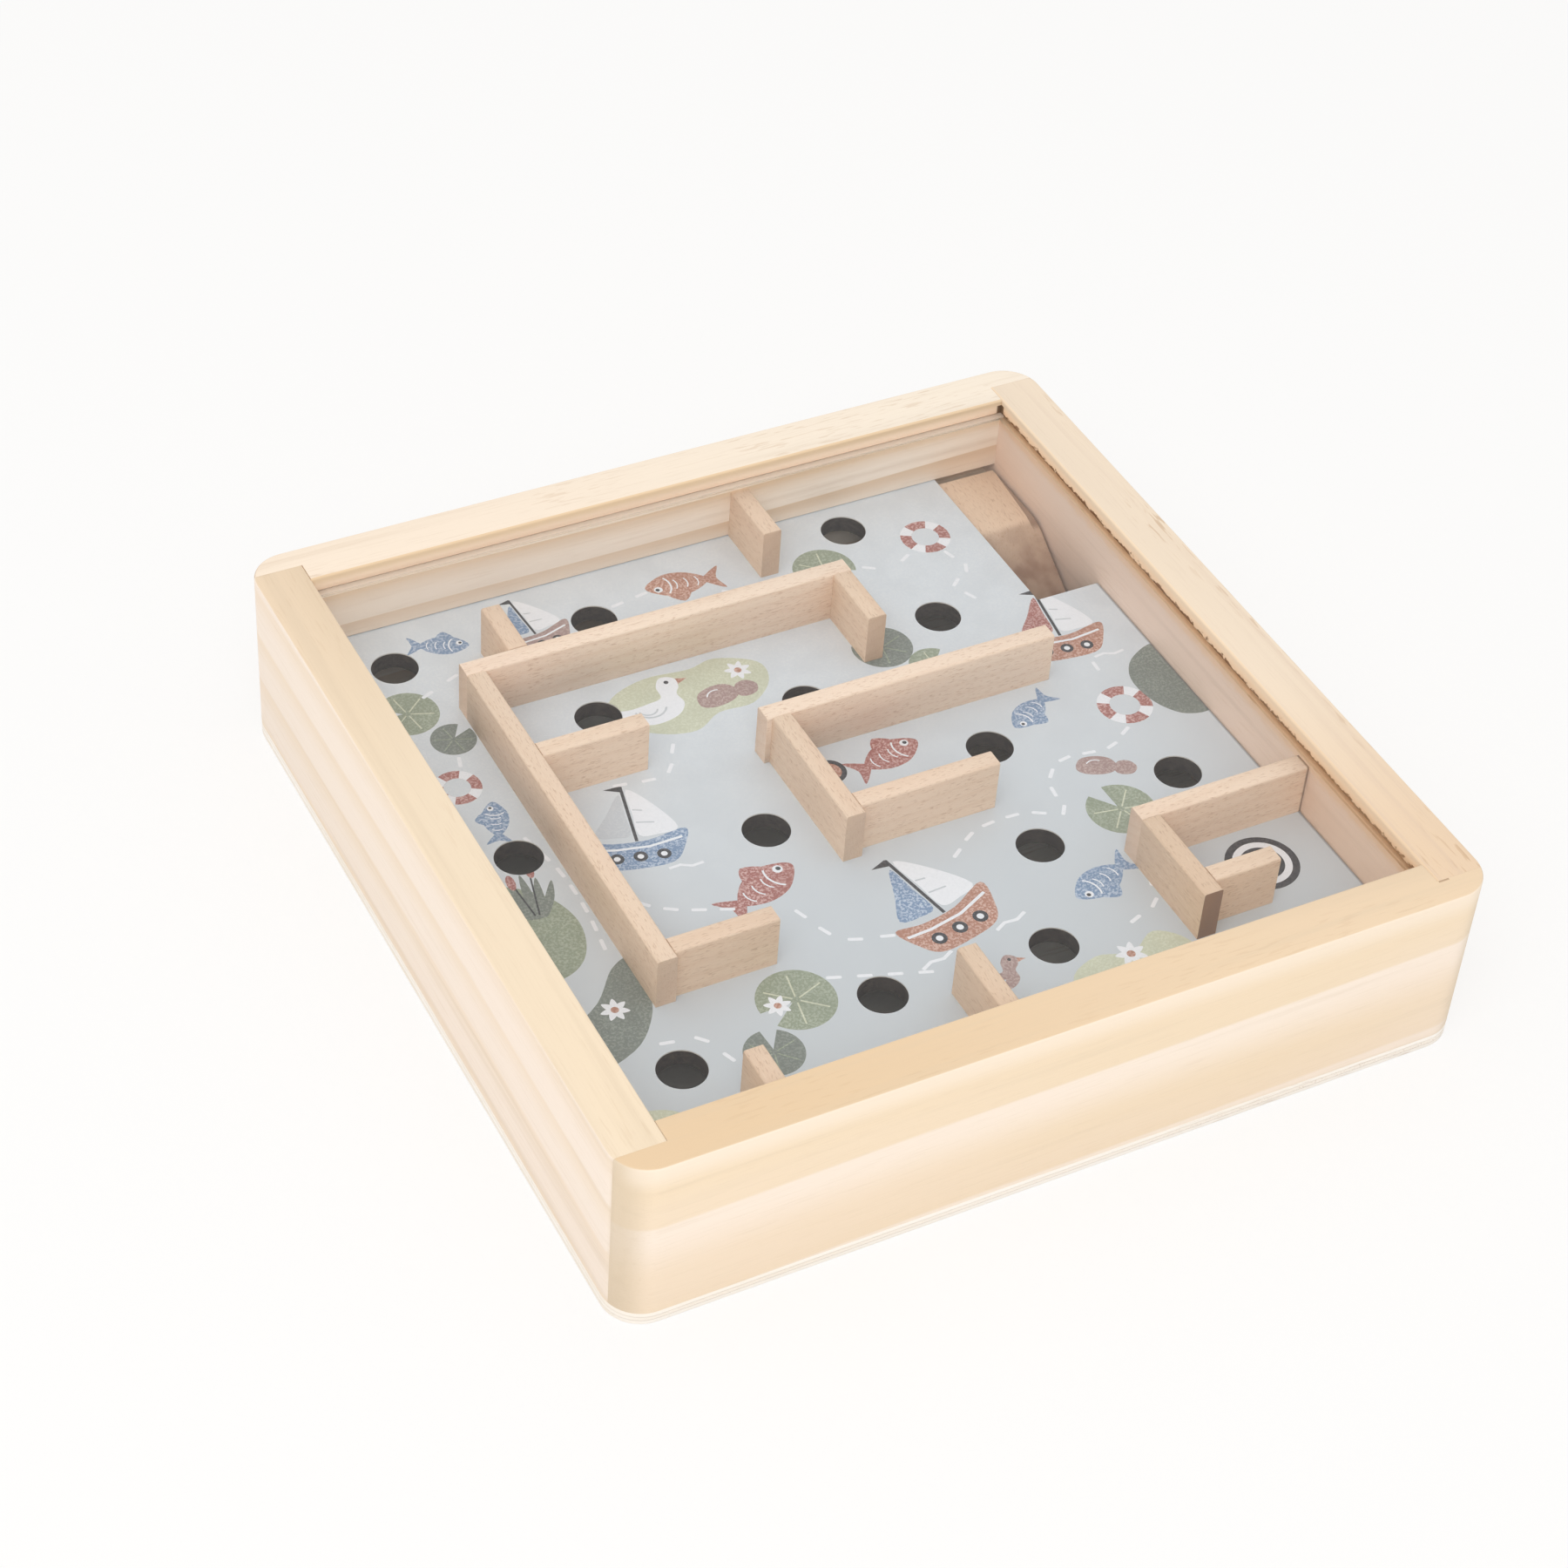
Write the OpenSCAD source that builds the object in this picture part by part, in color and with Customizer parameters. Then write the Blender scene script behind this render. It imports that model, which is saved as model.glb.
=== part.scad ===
// Hand-held tilt maze: a wooden tray with a clear cover, a board with holes and low walls,
// a lower floor that catches the ball and a ramp that brings it back.
// Origin: centre of the footprint at the underside. +X right, +Y back, +Z up.

/* [Frame] */
// Outer side of the square case
case_side = 140; // [132:1:156]
// Thickness of the four frame rails
rail_t = 8.2; // [7.4:0.1:9.4]
// Height of the frame rails, above the base panel
rail_h = 29.2; // [27.6:0.2:32]
// Radius of the upright outer corners
corner_r = 6; // [3:0.5:8]
// Thickness of the lip on the front and back rails that covers the ends of the side rails
joint_lip = 4.2; // [3.2:0.1:4.8]
// Radius of the eased outer edge along the top
outer_ease = 0.4; // [0.2:0.1:1.6]
// Radius of the eased inner edge along the top
inner_ease = 0.3; // [0.2:0.1:1]
// Depth of the saw grooves that hold the cover and the board
groove_depth = 3; // [2.2:0.1:3.3]

/* [Base and board] */
// Thickness of the plywood base panel
base_t = 2.2; // [1.8:0.1:3.6]
// Free height between the base panel and the board
lower_space = 12.8; // [11.4:0.1:14]
// Thickness of the board
board_t = 2.8; // [2.2:0.1:3.6]
// Thickness of the printed sheet on the board
print_t = 0.2; // [0.1:0.05:0.4]
// Diameter of the trap holes
hole_d = 7.5; // [7:0.1:8]
// Play of the board and the cover inside the frame, at each edge
edge_play = 0.2; // [0.1:0.05:0.5]
// Play of the board in the height of its groove
board_play = 0.2; // [0.1:0.05:0.5]

/* [Clear cover] */
// Thickness of the clear sheet
cover_t = 1.4; // [1:0.1:2]
// Wood left above the cover groove
cover_lip = 2.4; // [1.8:0.1:3.2]
// Play above the sheet in its groove
cover_play = 0.2; // [0.1:0.05:0.6]

/* [Maze walls] */
// Thickness of the wall strips
wall_t = 3.2; // [2.4:0.1:4]
// Gap between the top of the walls and the cover
wall_gap = 0.4; // [0.2:0.1:0.8]
// Radius of the eased top edges of the strips
wall_ease = 0.35; // [0.1:0.05:0.8]
// How far two of the strips run past the strip that they meet
wall_overrun = 0.9; // [0:0.1:1.6]

/* [Return ramp and ball] */
// Width of the notch in the board, from the right rail
notch_w = 11.6; // [10.4:0.1:13]
// Length of the notch, from the back rail
notch_l = 34.8; // [30:0.2:37]
// Slope of the ramp in degrees
ramp_angle = 32; // [28:1:38]
// Length of the flat landing, from the back rail
landing_l = 15.6; // [12:0.2:18]
// How far the landing lies below the printed face
landing_drop = 0.6; // [0.2:0.1:1.2]
// Radius of the bend between the landing and the slope
ramp_bend_r = 8; // [2:0.5:12]
// Height of the blunt nose at the foot of the ramp
ramp_nose = 0.4; // [0.2:0.05:0.45]
// Gap between the ramp block and the rails beside it
ramp_gap = 0.6; // [0.3:0.1:1.2]
// Diameter of the steel ball
ball_d = 6; // [5:0.1:6.6]
// Gap between the ball and the front rail at rest
ball_gap = 0.2; // [0.1:0.05:0.5]

/* [Hidden] */

$fn = 96;
// Steps in each small eased edge
ease_steps = 5;
// How far a cutting tool stands proud of what it cuts
proud = 1;

// Plan sizes
half = case_side / 2;
inside = half - rail_t;
corner_at = half - corner_r;
panel_half = inside + groove_depth - edge_play;
board_side_half = inside - edge_play;
joint_at = half - joint_lip;

// Levels
rail_top = base_t + rail_h;
board_low = base_t + lower_space;
board_top = board_low + board_t;
print_top = board_top + print_t;
cover_groove_top = rail_top - cover_lip;
cover_low = cover_groove_top - cover_play - cover_t;
wall_h = cover_low - wall_gap - print_top;

// The maze is laid out on a grid of squares counted from the centre of the board
grid_squares = 40;
grid = 2 * inside / grid_squares;

// Grid lines that the walls run along
col_left = -14.6;
col_upper_stub = -11.9;
col_middle = -2.1;
col_back_stub = 4.1;
col_hook = 5.9;
col_finish = 10.9;
row_upper = 12.2;
row_branch = 5.3;
row_middle = 3.4;
row_middle_foot = -4;
row_left_foot = -9.4;
row_finish = -10.3;
row_finish_hook = -15.3;
col_front_middle = -1.6;
col_front_left = -13.5;

// Free ends of the walls, in grid squares
end_back_stub = 16.1;
end_upper_stub = 16.2;
end_hook = 7.8;
end_branch = -8.4;
end_left_foot = -8.7;
end_middle = 13.5;
end_middle_leg = -5;
end_middle_foot = 6.1;
end_finish_side = -16.5;
end_finish_hook = 15.1;
end_front_middle = -14.9;
end_front_left = -16.7;

// Centres of the trap holes, in grid squares
trap_holes = [
    [-16.9, 16.8], [-6, 16.3], [9.5, 18], [10.7, 9.6], [-9, 9.3],
    [1.2, 6.3], [8.1, -0.5], [15.9, -5.9], [-5, -1.5], [-16.8, 1.5],
    [6.8, -7.8], [3.9, -14.1], [-5.1, -13.7], [-15.7, -14.2]
];

// Ramp
notch_x = inside - notch_w;
notch_y = inside - notch_l;
ramp_x0 = notch_x + edge_play;
ramp_x1 = inside - ramp_gap;
landing_z = print_top - landing_drop;
bend_y = inside - landing_l;
slope_foot_y = bend_y - (landing_z - base_t) / tan(ramp_angle);
nose_y = slope_foot_y + ramp_nose / tan(ramp_angle);
bend_tangent = ramp_bend_r * tan(ramp_angle / 2);

// Ball
ball_r = ball_d / 2;
ball_x = (ramp_x0 + ramp_x1) / 2;
ball_y = -inside + ball_r + ball_gap;

pine = "#f1dfbf";
pine_side = "#f3e2c8";
birch = "#e9dcc6";
beech = "#dcb795";
hardboard = "#5c4f46";
print_blue = "#cbd4d9";

// Points of an arc, from one angle to another
function arc(cx, cy, r, from, to, steps) =
    [for (i = [0:steps]) let (a = from + (to - from) * i / steps) [cx + r * cos(a), cy + r * sin(a)]];

// The rounded square outline of the case, made smaller by inset
module case_outline(inset = 0) {
    reach = half - inset;
    r = corner_r - inset;
    square([2 * reach, 2 * corner_at], center = true);
    square([2 * corner_at, 2 * reach], center = true);
    for (sx = [-1, 1], sy = [-1, 1])
        translate([sx * corner_at, sy * corner_at]) circle(r = r);
}

// Section of the shaving taken off the outer top edge: x runs outwards from the corner centre
module outer_ease_section() {
    edge = corner_r;
    polygon(concat(
        arc(edge - outer_ease, rail_top - outer_ease, outer_ease, 0, 90, ease_steps),
        [[edge - outer_ease, rail_top + proud], [edge + proud, rail_top + proud],
         [edge + proud, rail_top - outer_ease]]
    ));
}

// The shaving all round the case, straight along the rails and turned at the corners
module outer_edge_shaving() {
    for (turn = [0:90:270]) rotate(turn) {
        translate([corner_at, corner_at]) rotate([90, 0, 0])
            linear_extrude(2 * corner_at) outer_ease_section();
        translate([corner_at, corner_at])
            rotate_extrude(angle = 90) outer_ease_section();
    }
}

// The shaving along the inner top edge of one rail, here the right one
module inner_edge_shaving() {
    translate([0, half, 0]) rotate([90, 0, 0]) linear_extrude(case_side)
        polygon(concat(
            arc(inside + inner_ease, rail_top - inner_ease, inner_ease, 180, 90, ease_steps),
            [[inside + inner_ease, rail_top + proud], [inside - proud, rail_top + proud],
             [inside - proud, rail_top - inner_ease]]
        ));
}

// A saw groove along the inside of the right rail, between two levels
module groove(low, high) {
    translate([inside - proud, -half, low]) cube([groove_depth + proud, case_side, high - low]);
}

// A rail that runs the full width at +X, with a lip at each end that covers the side rails
module lapped_rail() {
    difference() {
        translate([0, 0, base_t]) linear_extrude(rail_h) intersection() {
            case_outline();
            union() {
                translate([inside, -inside]) square([half - inside, 2 * inside]);
                translate([joint_at, -half]) square([half - joint_at, case_side]);
            }
        }
        groove(cover_low, cover_groove_top);
        groove(board_low, print_top + board_play);
        outer_edge_shaving();
        inner_edge_shaving();
    }
}

// A rail at +X that fits between the lips of the two others
module plain_rail() {
    difference() {
        translate([0, 0, base_t]) linear_extrude(rail_h) intersection() {
            case_outline();
            translate([inside, -joint_at]) square([half - inside, 2 * joint_at]);
        }
        groove(cover_low, cover_groove_top);
        outer_edge_shaving();
        inner_edge_shaving();
    }
}

module front_rail() color(pine) rotate(-90) lapped_rail();
module back_rail() color(pine) rotate(90) lapped_rail();
module left_rail() color(pine_side) rotate(180) plain_rail();
module right_rail() color(pine_side) plain_rail();

module base_panel() color(birch) linear_extrude(base_t) case_outline();

// Outline of the board and its sheet: tongues at the front and back, the notch, the holes
module board_outline() {
    difference() {
        square([2 * board_side_half, 2 * panel_half], center = true);
        translate([notch_x, notch_y]) square([half, half]);
        for (hole = trap_holes) translate(hole * grid) circle(d = hole_d);
    }
}

module maze_board() color(hardboard) translate([0, 0, board_low]) linear_extrude(board_t) board_outline();

module printed_sheet() color(print_blue) translate([0, 0, board_top])
    linear_extrude(print_t) board_outline();

module clear_cover() color("#eef6f8", 0.3) translate([0, 0, cover_low])
    linear_extrude(cover_t) square(2 * panel_half, center = true);

// Side view of the ramp: x is the distance from front to back, y is the height
module ramp_section() {
    intersection() {
        union() {
            polygon([
                [nose_y, base_t],
                [inside - ramp_gap, base_t],
                [inside - ramp_gap, landing_z],
                [bend_y + bend_tangent, landing_z],
                [bend_y - bend_tangent * cos(ramp_angle), landing_z - bend_tangent * sin(ramp_angle)],
                [nose_y, base_t + ramp_nose]
            ]);
            polygon(concat(
                [[bend_y + bend_tangent, base_t + ramp_nose]],
                arc(bend_y + bend_tangent, landing_z - ramp_bend_r, ramp_bend_r,
                    90, 90 + ramp_angle, 16)
            ));
        }
        translate([nose_y, base_t]) square([case_side, landing_z - base_t]);
    }
}

module return_ramp() color(beech) translate([ramp_x0, 0, 0])
    rotate([90, 0, 90]) linear_extrude(ramp_x1 - ramp_x0) ramp_section();

module steel_ball() color("silver") translate([ball_x, ball_y, base_t + ball_r]) sphere(d = ball_d);

// Section of a wall strip, standing on the printed sheet
module strip_section() {
    polygon(concat(
        [[-wall_t / 2, 0], [wall_t / 2, 0]],
        arc(wall_t / 2 - wall_ease, wall_h - wall_ease, wall_ease, 0, 90, ease_steps),
        arc(-wall_t / 2 + wall_ease, wall_h - wall_ease, wall_ease, 90, 180, ease_steps)
    ));
}

// A strip from front to back at x, and one from left to right at y
module strip_along_y(x, y0, y1) color(beech)
    translate([x, y1, print_top]) rotate([90, 0, 0]) linear_extrude(y1 - y0) strip_section();
module strip_along_x(x0, x1, y) color(beech)
    translate([x0, y, print_top]) rotate([90, 0, 90]) linear_extrude(x1 - x0) strip_section();

// Faces of the strips that others butt against
half_t = wall_t / 2;
upper_front = row_upper * grid - half_t;
upper_back = row_upper * grid + half_t;
left_right = col_left * grid + half_t;
middle_front = row_middle * grid - half_t;
leg_right = col_middle * grid + half_t;
finish_front = row_finish * grid - half_t;
finish_right = col_finish * grid + half_t;

module back_stub_wall() strip_along_y(col_back_stub * grid, end_back_stub * grid, inside);
module upper_stub_wall() strip_along_y(col_upper_stub * grid, upper_back, end_upper_stub * grid);
module upper_long_wall() strip_along_x(left_right - wall_t, col_hook * grid + half_t, row_upper * grid);
module upper_hook_wall() strip_along_y(col_hook * grid, end_hook * grid, upper_front);
module left_long_wall()
    strip_along_y(col_left * grid, row_left_foot * grid - half_t - wall_overrun, upper_front);
module left_branch_wall() strip_along_x(left_right, end_branch * grid, row_branch * grid);
module left_foot_wall() strip_along_x(left_right, end_left_foot * grid, row_left_foot * grid);
module middle_long_wall()
    strip_along_x(leg_right - wall_t - wall_overrun, end_middle * grid, row_middle * grid);
module middle_leg_wall() strip_along_y(col_middle * grid, end_middle_leg * grid, middle_front);
module middle_foot_wall() strip_along_x(leg_right, end_middle_foot * grid, row_middle_foot * grid);
module finish_back_wall() strip_along_x(finish_right - wall_t, inside, row_finish * grid);
module finish_side_wall() strip_along_y(col_finish * grid, end_finish_side * grid, finish_front);
module finish_hook_wall() strip_along_x(finish_right, end_finish_hook * grid, row_finish_hook * grid);
module front_middle_stub_wall()
    strip_along_y(col_front_middle * grid, -inside, end_front_middle * grid);
module front_left_stub_wall() strip_along_y(col_front_left * grid, -inside, end_front_left * grid);

base_panel();
front_rail();
back_rail();
left_rail();
right_rail();
maze_board();
printed_sheet();
clear_cover();
return_ramp();
steel_ball();
back_stub_wall();
upper_stub_wall();
upper_long_wall();
upper_hook_wall();
left_long_wall();
left_branch_wall();
left_foot_wall();
middle_long_wall();
middle_leg_wall();
middle_foot_wall();
finish_back_wall();
finish_side_wall();
finish_hook_wall();
front_middle_stub_wall();
front_left_stub_wall();
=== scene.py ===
import math

import bpy
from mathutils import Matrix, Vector
from mathutils.geometry import delaunay_2d_cdt


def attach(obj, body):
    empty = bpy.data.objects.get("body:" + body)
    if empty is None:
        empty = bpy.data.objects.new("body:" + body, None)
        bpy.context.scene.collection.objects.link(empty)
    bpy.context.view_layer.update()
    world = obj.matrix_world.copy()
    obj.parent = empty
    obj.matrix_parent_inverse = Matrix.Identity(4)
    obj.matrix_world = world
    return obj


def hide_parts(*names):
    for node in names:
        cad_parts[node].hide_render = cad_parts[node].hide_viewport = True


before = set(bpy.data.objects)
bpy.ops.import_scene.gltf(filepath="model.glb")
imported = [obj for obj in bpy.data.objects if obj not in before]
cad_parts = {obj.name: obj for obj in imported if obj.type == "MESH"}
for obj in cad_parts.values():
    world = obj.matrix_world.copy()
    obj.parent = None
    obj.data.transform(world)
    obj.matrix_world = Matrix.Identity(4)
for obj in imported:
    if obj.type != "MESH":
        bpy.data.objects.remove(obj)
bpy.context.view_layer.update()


# Table top, light and camera.
# A white table in an even white room, with one broad soft lamp high on the front left.
# The camera looks down on the near left corner, and is rolled a little as it was hand-held.
def add(tree, kind, values=None, family="ShaderNode", **settings):
    """One node, with values or links put into its sockets by name or number."""
    node = tree.nodes.new(family + kind)
    for name, value in settings.items():
        setattr(node, name, value)
    for socket, value in (values or {}).items():
        if isinstance(value, bpy.types.NodeSocket):
            tree.links.new(value, node.inputs[socket])
        else:
            node.inputs[socket].default_value = value
    return node


def emptied(owner):
    """The node tree of a material or world, with nothing in it."""
    owner.use_nodes = True
    owner.node_tree.nodes.clear()
    return owner.node_tree


def in_scene(name, data):
    """A new object of the scene."""
    thing = bpy.data.objects.new(name, data)
    bpy.context.scene.collection.objects.link(thing)
    return thing


reach, height = 4, -2e-5
table_mesh = bpy.data.meshes.new("table_top")
table_mesh.from_pydata([(-reach, -reach, height), (reach, -reach, height), (reach, reach, height),
                        (-reach, reach, height)], [], [(0, 1, 2, 3)])
table_top = in_scene("table_top", table_mesh)

white_table = bpy.data.materials.new("white_table")
tree = emptied(white_table)
own_white = 0.66
painted = add(tree, "BsdfDiffuse", {"Color": (0.93, 0.925, 0.92, 1)})
lit = add(tree, "Emission", {"Color": (1, 0.998, 0.995, 1), "Strength": 1.0})
seen = add(tree, "LightPath")
share = add(tree, "Math", {0: seen.outputs["Is Camera Ray"], 1: own_white}, operation="MULTIPLY")
both = add(tree, "MixShader", {0: share.outputs[0], 1: painted.outputs[0], 2: lit.outputs[0]})
add(tree, "OutputMaterial", {"Surface": both.outputs[0]})
table_mesh.materials.append(white_table)

room_light, room_white = 0.85, 1.0
room = bpy.data.worlds.new("white_room")
bpy.context.scene.world = room
tree = emptied(room)
seen = add(tree, "LightPath")
straight = add(tree, "Math", {0: seen.outputs["Is Camera Ray"], 1: seen.outputs["Is Transmission Ray"]},
               operation="MAXIMUM")
strength = add(tree, "MapRange", {"Value": straight.outputs[0], "To Min": room_light, "To Max": room_white})
walls_light = add(tree, "Background", {"Color": (1, 0.99, 0.975, 1), "Strength": strength.outputs[0]})
add(tree, "OutputWorld", {"Surface": walls_light.outputs[0]})

lamp_data = bpy.data.lights.new("soft_lamp", "AREA")
lamp_data.shape = "DISK"
lamp_data.size = 0.7
lamp_data.energy = 2.15
lamp_data.color = (1, 0.985, 0.96)
lamp = in_scene("soft_lamp", lamp_data)
lamp.location = (-0.36, -0.42, 0.72)
lamp_target = Vector((0, 0, 0.02))
lamp.rotation_euler = (lamp_target - lamp.location).to_track_quat("-Z", "Y").to_euler()

camera_data = bpy.data.cameras.new("camera")
camera_data.lens = 80.84
camera_data.sensor_width = 36
camera_data.clip_start = 0.01
camera = in_scene("camera", camera_data)
camera.location = (-0.20848, -0.34241, 0.37697)
camera.rotation_euler = [math.radians(turn) for turn in (47.982, -3.351, -27.042)]
bpy.context.scene.camera = camera
bpy.context.scene.view_settings.view_transform = "Standard"


# Base panel.
# Three-ply birch, 2.2 mm thick, glued under the frame and trimmed flush with it.
# Its sanded edge is nearly white, with a faint line where the cross-grained core starts.
def seen_as(red, green, blue):
    """A colour as a screen shows it, 0 to 255, in the linear values that a shader takes."""
    return tuple(((c / 255 + 0.055) / 1.055) ** 2.4 for c in (red, green, blue)) + (1.0,)


def calc(tree, operation, a, b=0.0, c=0.0, clamp=False):
    """The result of one sum on numbers or sockets."""
    return add(tree, "Math", {0: a, 1: b, 2: c}, operation=operation, use_clamp=clamp).outputs[0]


def times(tree, a, b):
    """The product of two numbers or sockets."""
    return calc(tree, "MULTIPLY", a, b)


def rest_of(tree, share):
    """What a share leaves of the whole."""
    return calc(tree, "SUBTRACT", 1.0, share)


def between(tree, share, a, b):
    """Two numbers mixed by a share from 0 to 1."""
    return add(tree, "Mix", {0: share, 2: a, 3: b}, data_type="FLOAT").outputs[0]


def carried(tree, value, low, high, new_low, new_high):
    """A value carried from the range low to high over to a new range."""
    return add(tree, "MapRange", {"Value": value, "From Min": low, "From Max": high, "To Min": new_low,
                                  "To Max": new_high}).outputs[0]


def step_up(tree, value, low, high):
    """0 before low, 1 past high, and a smooth rise between them. High may be the lower number."""
    node = add(tree, "MapRange", {"Value": value, "From Min": low, "From Max": high},
               interpolation_type="SMOOTHSTEP")
    return node.outputs[0]


def mixed(tree, share, a, b, how="MIX"):
    """Two colours mixed by a share from 0 to 1."""
    return add(tree, "Mix", {0: share, 6: a, 7: b}, data_type="RGBA", blend_type=how).outputs[2]


def tinted(tree, colour, share, most, tone):
    """A colour taken towards a tone, by a share from 0 to 1 times most."""
    return mixed(tree, times(tree, share, most), colour, seen_as(*tone))


def vector_calc(tree, operation, a, b=(0, 0, 0), c=(0, 0, 0)):
    """The result of one sum on vectors."""
    return add(tree, "VectorMath", {0: a, 1: b, 2: c}, operation=operation).outputs[0]


def spot(tree):
    """The place on the object, in metres."""
    return add(tree, "TexCoord").outputs["Object"]


def outwards(tree):
    """The way that the surface faces."""
    return add(tree, "NewGeometry").outputs["Normal"]


def parts(tree, vector):
    """The x, y and z of a vector."""
    return add(tree, "SeparateXYZ", {0: vector}).outputs


def clouds(tree, place, stretch, detail=2.0, roughness=0.5):
    """Cloudy noise on a place, with so many clouds to the metre along each axis."""
    return add(tree, "TexNoise", {"Vector": vector_calc(tree, "MULTIPLY", place, stretch), "Scale": 1.0,
                                  "Detail": detail, "Roughness": roughness})


def grain(tree, place, stretch, detail=2.0, roughness=0.5):
    """How thick such clouds are at a place, from 0 to 1."""
    return clouds(tree, place, stretch, detail, roughness).outputs[0]


def start_material(name):
    """A new material with its shader and output, and the place on the object."""
    material = bpy.data.materials.new(name)
    tree = emptied(material)
    shader = add(tree, "BsdfPrincipled")
    add(tree, "OutputMaterial", {"Surface": shader.outputs[0]})
    return material, tree, shader, spot(tree)


def coat(tree, shader, colour):
    """Gives a shader its colour."""
    tree.links.new(colour, shader.inputs["Base Color"])


def polish(tree, shader, value, smooth, dull, low=0.0, high=1.0):
    """Takes the roughness from smooth to dull as a value goes from low to high."""
    tree.links.new(carried(tree, value, low, high, smooth, dull), shader.inputs["Roughness"])


def relief(tree, shader, height, depth, strength=1.0):
    """Small surface relief of a depth in metres."""
    bump = add(tree, "Bump", {"Height": height, "Distance": depth, "Strength": strength})
    tree.links.new(bump.outputs[0], shader.inputs["Normal"])


def dress(node, material, edge=0.00012):
    """Gives a CAD node its material, merges its loose triangles and rounds its sharp edges."""
    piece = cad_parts[node]
    piece.data.materials.clear()
    piece.data.materials.append(material)
    if edge:
        piece.data.shade_smooth()
    weld = piece.modifiers.new("weld", "WELD")
    weld.merge_threshold = 1e-6
    if edge:
        bevel = piece.modifiers.new("worn_edges", "BEVEL")
        bevel.width = edge
        bevel.segments = 2
        bevel.limit_method = "ANGLE"
        bevel.angle_limit = math.radians(32)
        bevel.harden_normals = True
    return piece


ply, ply_wave = 0.0022 / 3, 0.00022
birch, tree, shader, place = start_material("birch_plywood")
axes = parts(tree, place)
wave = calc(tree, "SUBTRACT", grain(tree, place, (20, 30, 900)), 0.5)
layer = calc(tree, "DIVIDE", calc(tree, "MULTIPLY_ADD", wave, ply_wave, axes[2]), ply)
core = calc(tree, "COMPARE", layer, 1.5, 0.5)
from_joints = [calc(tree, "ABSOLUTE", calc(tree, "SUBTRACT", layer, joint)) for joint in (1.0, 2.0)]
glue_line = rest_of(tree, step_up(tree, calc(tree, "MINIMUM", *from_joints), 0.03, 0.11))
ends, sides = [calc(tree, "ABSOLUTE", way) for way in parts(tree, outwards(tree))[:2]]
end_grain = between(tree, core, ends, sides)
figure = grain(tree, place, (14, 90, 300), 3.0, 0.55)
fibre = between(tree, core, grain(tree, place, (160, 3200, 4200), 3.0, 0.6),
                grain(tree, place, (3200, 160, 4200), 3.0, 0.6))
veneer = mixed(tree, step_up(tree, figure, 0.35, 0.7), seen_as(255, 251, 245), seen_as(250, 243, 232))
veneer = tinted(tree, veneer, end_grain, 0.3, (238, 224, 208))
veneer = tinted(tree, veneer, glue_line, 0.3, (206, 188, 172))
rough = times(tree, step_up(tree, fibre, 0.54, 0.7), step_up(tree, axes[0], -0.01, 0.05))
coat(tree, shader, tinted(tree, veneer, rough, 0.5, (186, 158, 132)))
polish(tree, shader, fibre, 0.52, 0.72)
relief(tree, shader, calc(tree, "SUBTRACT", fibre, times(tree, glue_line, 0.8)), 0.00006)
dress("base_panel", birch, 0.0001)


# Frame rails.
# Four lengths of planed pine, 8.2 mm by 29.2 mm, glued at rebated corners whose lips cover the ends
# of the side rails. Each year's wood runs from cream to amber and stops short at the next.
def wandering(tree, place, stretch, detail, reach):
    """A place that wanders across the grain by up to half a reach, as the fibres of a plank do."""
    drift = vector_calc(tree, "ADD", clouds(tree, place, stretch, detail).outputs[1], (-0.5, -0.5, -0.5))
    return vector_calc(tree, "MULTIPLY_ADD", drift, (0, reach, reach), place)


def year_ring(tree, years, rise, fall):
    """How dark the wood is after so many years: each year darkens it slowly and ends at once."""
    part = calc(tree, "FRACT", years)
    return times(tree, step_up(tree, part, *rise), rest_of(tree, step_up(tree, part, *fall)))


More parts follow.
